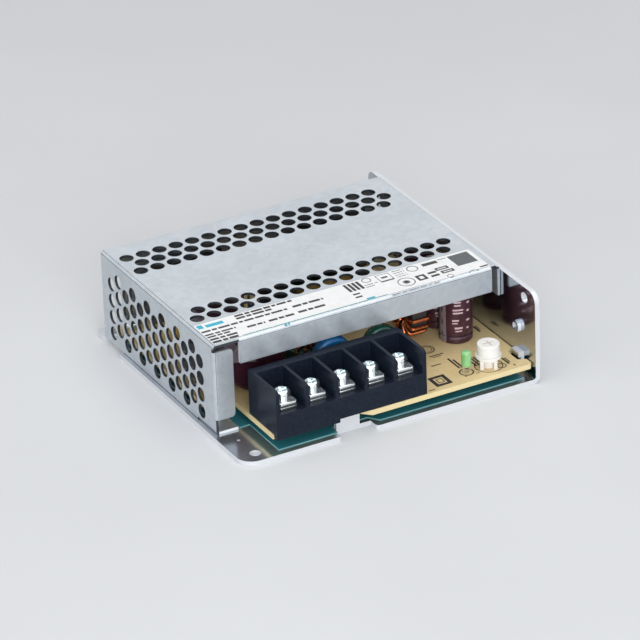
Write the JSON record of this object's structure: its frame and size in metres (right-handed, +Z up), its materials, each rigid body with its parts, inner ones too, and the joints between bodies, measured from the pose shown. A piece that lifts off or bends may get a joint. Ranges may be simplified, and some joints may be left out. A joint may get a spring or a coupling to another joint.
{
  "type": "panel mount power supply",
  "caption": "Enclosed switching power supply for panel mounting: perforated folded cover on a bent sheet chassis, barrier terminal block, status lamp and output trimmer.",
  "frame": {"origin": "middle of the whole part's footprint, on the underside of the chassis base", "axes": "+X to the right along the terminal side, +Y from the terminal side to the back, +Z up out of the base"},
  "size_m": [0.097, 0.098, 0.0301],
  "materials": {
    "block_plastic": "satin black moulding",
    "board_laminate": "bare beige laminate with dark printed outlines",
    "bobbin_plastic": "moulded",
    "capacitor_sleeve": "shrunk sleeve with a pale grey stripe",
    "chassis_aluminium": "bright mill-finish sheet, polished inside, white cut edges",
    "chip_plastic": "moulded",
    "coated_core": "painted ring core",
    "coil_tape": "polyester tape",
    "contact_metal": "tinned",
    "copper_wire": "enamelled copper wire",
    "cover_steel": "galvanised sheet with a faint spangle",
    "ferrite": "ground dark ferrite",
    "fuse_plastic": "moulded",
    "heat_sink": "stamped sheet",
    "insulation_film": "dark green translucent film",
    "label_film": "white satin printed film",
    "led_lens": "diffused green epoxy",
    "resistor_coat": "lacquered",
    "screw_steel": "bright zinc plated",
    "thermistor_coat": "dipped epoxy",
    "trimmer_plastic": "white moulding",
    "varistor_coat": "dipped epoxy",
    "x_capacitor_case": "moulded box"
  },
  "bodies": {
    "supply": {"board_screws": "screw_steel", "bridge_rectifier": "chip_plastic", "bulk_capacitor": "capacitor_sleeve", "chassis": "chassis_aluminium", "circuit_board": "board_laminate", "controller_chip": "chip_plastic", "cover": "cover_steel", "cover_screws": "screw_steel", "filter_choke_core": "coated_core", "filter_choke_winding_1": "copper_wire", "filter_choke_winding_2": "copper_wire", "fuse": "fuse_plastic", "inrush_thermistor": "thermistor_coat", "insulation_film": "insulation_film", "optocoupler": "chip_plastic", "output_capacitor_1": "capacitor_sleeve", "output_capacitor_2": "capacitor_sleeve", "output_capacitor_3": "capacitor_sleeve", "output_choke_core": "ferrite", "output_choke_winding": "copper_wire", "output_heat_sink": "heat_sink", "output_rectifier": "chip_plastic", "primary_heat_sink": "heat_sink", "rating_label": "label_film", "snubber_resistor": "resistor_coat", "status_led": "led_lens", "switching_transistor": "chip_plastic", "terminal_block": "block_plastic", "terminal_clamp_1": "contact_metal", "terminal_clamp_2": "contact_metal", "terminal_clamp_3": "contact_metal", "terminal_clamp_4": "contact_metal", "terminal_clamp_5": "contact_metal", "terminal_contact_1": "contact_metal", "terminal_contact_2": "contact_metal", "terminal_contact_3": "contact_metal", "terminal_contact_4": "contact_metal", "terminal_contact_5": "contact_metal", "terminal_screws": "screw_steel", "transformer_bobbin": "bobbin_plastic", "transformer_coil": "coil_tape", "transformer_core": "ferrite", "trimmer_body": "trimmer_plastic", "varistor": "varistor_coat", "x_capacitor": "x_capacitor_case", "y_capacitor": "varistor_coat"},
    "trimmer_knob": {"trimmer_rotor": "trimmer_plastic"}
  },
  "joints": [
    {"name": "trimmer_turn", "type": "hinge", "parent": "supply", "child": "trimmer_knob", "pos_m": [0.0353, -0.042, 0.01], "axis": [0, 0, 1], "range_deg": [-130, 130]}
  ]
}
